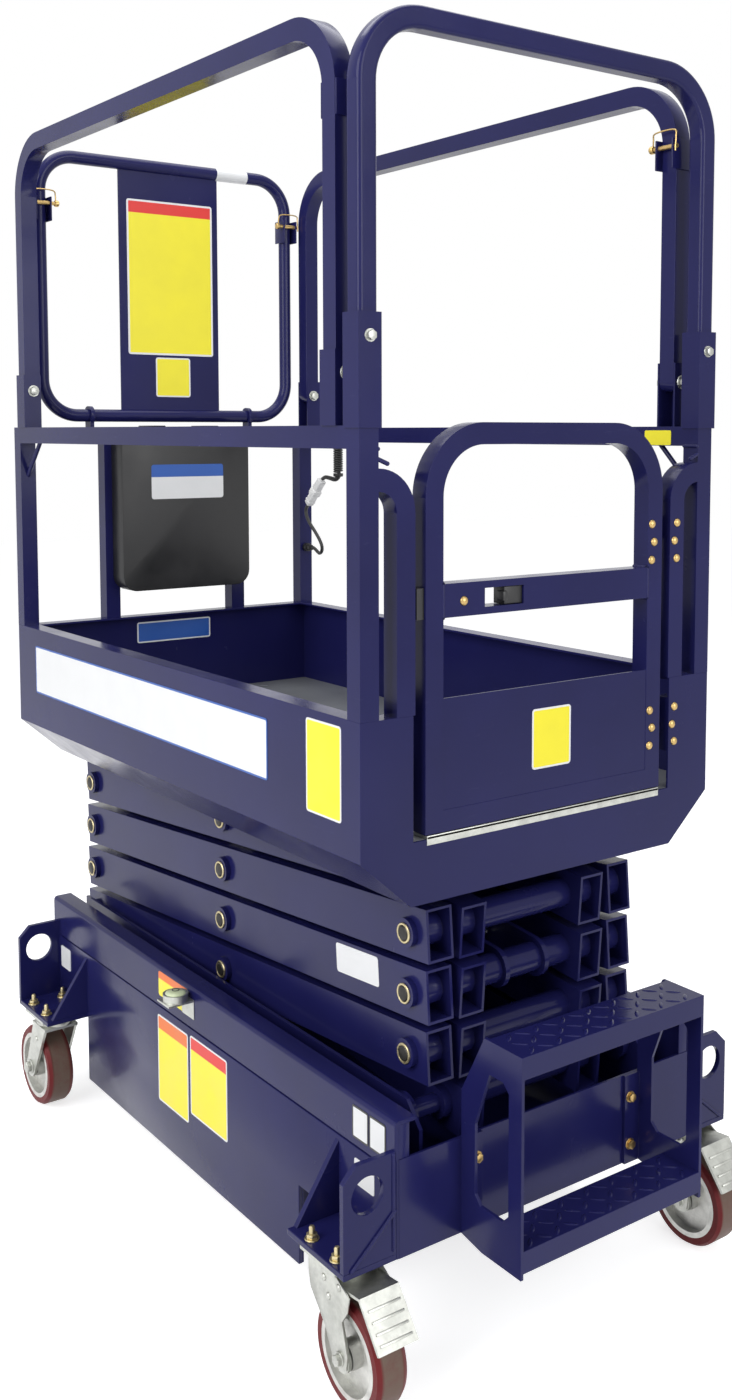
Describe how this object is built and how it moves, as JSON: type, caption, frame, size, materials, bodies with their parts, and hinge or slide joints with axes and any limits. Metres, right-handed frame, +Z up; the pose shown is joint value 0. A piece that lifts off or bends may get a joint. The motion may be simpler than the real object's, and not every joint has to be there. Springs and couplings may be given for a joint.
{
  "type": "scissor lift",
  "caption": "Push-around scissor lift with a folding guard rail, inward gate, boarding ladder and swivel casters.",
  "frame": {"origin": "on the floor, in the middle of the overall length and width", "axes": "+X towards the gate and ladder end, +Y to the right seen from the gate end looking at the machine, +Z up"},
  "size_m": [1.318, 0.74, 1.848],
  "materials": {
    "paint": "gloss",
    "rail_paint": "gloss",
    "arm_paint": "gloss",
    "pin_steel": "satin",
    "deck": "satin",
    "zinc": "satin",
    "pedal_zinc": "satin",
    "wheel_metal": "satin",
    "tread": "satin",
    "black_plastic": "matte",
    "connector": "satin",
    "power_pack": "matte",
    "level": "gloss",
    "chrome_rod": "polished"
  },
  "bodies": {
    "base": {"base_walls": "paint", "base_skirts": "paint", "skirt_ends": "paint", "base_tray": "paint", "pivot_plates": "paint", "bracket_plates": "paint", "bracket_uprights": "paint", "power_block": "power_pack", "ladder": "paint", "bubble_level": "level", "cable_carrier": "black_plastic", "caster_plates": "zinc"},
    "inner_1": {"inner_arm_1": "arm_paint", "inner_pins_1": "pin_steel"},
    "outer_1": {"outer_arm_1": "arm_paint", "outer_pins_1": "pin_steel"},
    "inner_2": {"inner_arm_2": "arm_paint", "inner_pins_2": "pin_steel"},
    "outer_2": {"outer_arm_2": "arm_paint", "outer_pins_2": "pin_steel"},
    "inner_3": {"inner_arm_3": "arm_paint", "inner_pins_3": "pin_steel"},
    "outer_3": {"outer_arm_3": "arm_paint", "outer_pins_3": "pin_steel"},
    "inner_4": {"inner_arm_4": "arm_paint", "inner_pins_4": "pin_steel"},
    "outer_4": {"outer_arm_4": "arm_paint", "outer_pins_4": "pin_steel"},
    "platform": {"platform_box": "paint", "platform_deck": "deck", "platform_tracks": "paint", "guard_posts": "rail_paint", "end_hoop": "rail_paint", "document_box": "black_plastic", "curly_cord": "black_plastic", "cord_connector": "connector", "control_cable": "black_plastic", "cable_gland": "black_plastic"},
    "gate": {"gate_frame": "rail_paint", "gate_latch": "black_plastic"},
    "left_rail": {"left_hoop": "rail_paint"},
    "right_rail": {"right_hoop": "rail_paint"},
    "back_rail": {"back_hoop": "rail_paint"},
    "cylinder_barrel": {"lift_barrel": "paint"},
    "cylinder_rod": {"lift_rod": "chrome_rod"},
    "caster_front_left": {"fork_front_left": "zinc", "pedal_front_left": "pedal_zinc"},
    "wheel_front_left": {"hub_front_left": "wheel_metal", "tread_front_left": "tread"},
    "caster_front_right": {"fork_front_right": "zinc", "pedal_front_right": "pedal_zinc"},
    "wheel_front_right": {"hub_front_right": "wheel_metal", "tread_front_right": "tread"},
    "caster_rear_left": {"fork_rear_left": "zinc"},
    "wheel_rear_left": {"hub_rear_left": "wheel_metal", "tread_rear_left": "tread"},
    "caster_rear_right": {"fork_rear_right": "zinc"},
    "wheel_rear_right": {"hub_rear_right": "wheel_metal", "tread_rear_right": "tread"}
  },
  "joints": [
    {"name": "lift", "type": "hinge", "parent": "base", "child": "inner_1", "pos_m": [0.4423, 0, 0.3405], "axis": [0, 1, 0], "range_deg": [0, 45.3]},
    {"name": "arms_1_centre", "type": "hinge", "parent": "inner_1", "child": "outer_1", "pos_m": [-0.08725, 0, 0.38413], "axis": [0, 1, 0], "range_deg": [-90.6, 0]},
    {"name": "arms_1_2_right", "type": "hinge", "parent": "outer_1", "child": "inner_2", "pos_m": [0.4423, 0, 0.42776], "axis": [0, 1, 0], "range_deg": [0, 90.6]},
    {"name": "arms_2_centre", "type": "hinge", "parent": "inner_2", "child": "outer_2", "pos_m": [-0.08725, 0, 0.47139], "axis": [0, 1, 0], "range_deg": [-90.6, 0]},
    {"name": "arms_2_3_right", "type": "hinge", "parent": "outer_2", "child": "inner_3", "pos_m": [0.4423, 0, 0.51502], "axis": [0, 1, 0], "range_deg": [0, 90.6]},
    {"name": "arms_3_centre", "type": "hinge", "parent": "inner_3", "child": "outer_3", "pos_m": [-0.08725, 0, 0.55865], "axis": [0, 1, 0], "range_deg": [-90.6, 0]},
    {"name": "arms_3_4_right", "type": "hinge", "parent": "outer_3", "child": "inner_4", "pos_m": [0.4423, 0, 0.60228], "axis": [0, 1, 0], "range_deg": [0, 90.6]},
    {"name": "arms_4_centre", "type": "hinge", "parent": "inner_4", "child": "outer_4", "pos_m": [-0.08725, 0, 0.64591], "axis": [0, 1, 0], "range_deg": [-90.6, 0]},
    {"name": "platform_pivot", "type": "hinge", "parent": "outer_4", "child": "platform", "pos_m": [0.4423, 0, 0.68954], "axis": [0, 1, 0], "range_deg": [0, 45.3]},
    {"name": "barrel_pivot", "type": "hinge", "parent": "inner_1", "child": "cylinder_barrel", "pos_m": [-0.53208, 0, 0.42078], "axis": [0, 1, 0], "range_deg": [-101.75, 0]},
    {"name": "rod_slide", "type": "slide", "parent": "cylinder_barrel", "child": "cylinder_rod", "axis": [0.9924, 0, 0.1227], "range_m": [0, 0.24]},
    {"name": "gate_hinge", "type": "hinge", "parent": "platform", "child": "gate", "pos_m": [0.481, 0.233, 0.855], "axis": [0, 0, -1], "range_deg": [0, 90]},
    {"name": "left_rail_fold", "type": "hinge", "parent": "platform", "child": "left_rail", "pos_m": [-0.071, -0.315, 1.38], "axis": [-1, 0, 0], "range_deg": [0, 90]},
    {"name": "right_rail_fold", "type": "hinge", "parent": "platform", "child": "right_rail", "pos_m": [-0.071, 0.315, 1.38], "axis": [1, 0, 0], "range_deg": [0, 74]},
    {"name": "back_rail_fold", "type": "hinge", "parent": "platform", "child": "back_rail", "pos_m": [-0.6465, 0, 1.335], "axis": [0, 1, 0], "range_deg": [0, 90]},
    {"name": "swivel_front_left", "type": "hinge", "parent": "base", "child": "caster_front_left", "pos_m": [0.466, -0.327, 0.19], "axis": [0, 0, 1], "continuous": true},
    {"name": "swivel_front_right", "type": "hinge", "parent": "base", "child": "caster_front_right", "pos_m": [0.466, 0.327, 0.19], "axis": [0, 0, 1], "continuous": true},
    {"name": "swivel_rear_left", "type": "hinge", "parent": "base", "child": "caster_rear_left", "pos_m": [-0.526, -0.327, 0.19], "axis": [0, 0, 1], "range_deg": [-115, 180]},
    {"name": "swivel_rear_right", "type": "hinge", "parent": "base", "child": "caster_rear_right", "pos_m": [-0.526, 0.327, 0.19], "axis": [0, 0, 1], "range_deg": [-180, 115]},
    {"name": "spin_front_left", "type": "hinge", "parent": "caster_front_left", "child": "wheel_front_left", "pos_m": [0.511, -0.327, 0.075], "axis": [0, 1, 0], "continuous": true},
    {"name": "spin_front_right", "type": "hinge", "parent": "caster_front_right", "child": "wheel_front_right", "pos_m": [0.511, 0.327, 0.075], "axis": [0, 1, 0], "continuous": true},
    {"name": "spin_rear_left", "type": "hinge", "parent": "caster_rear_left", "child": "wheel_rear_left", "pos_m": [-0.571, -0.327, 0.075], "axis": [0, 1, 0], "continuous": true},
    {"name": "spin_rear_right", "type": "hinge", "parent": "caster_rear_right", "child": "wheel_rear_right", "pos_m": [-0.571, 0.327, 0.075], "axis": [0, 1, 0], "continuous": true}
  ],
  "couplings": [
    {"joint": "arms_1_centre", "follows": "lift", "ratio": -2},
    {"joint": "arms_1_2_right", "follows": "lift", "ratio": 2},
    {"joint": "arms_2_centre", "follows": "lift", "ratio": -2},
    {"joint": "arms_2_3_right", "follows": "lift", "ratio": 2},
    {"joint": "arms_3_centre", "follows": "lift", "ratio": -2},
    {"joint": "arms_3_4_right", "follows": "lift", "ratio": 2},
    {"joint": "arms_4_centre", "follows": "lift", "ratio": -2},
    {"joint": "platform_pivot", "follows": "lift", "ratio": 1},
    {"joint": "barrel_pivot", "follows": "lift", "ratio": -2.235},
    {"joint": "rod_slide", "follows": "lift", "m_per_rad": 0.3}
  ]
}
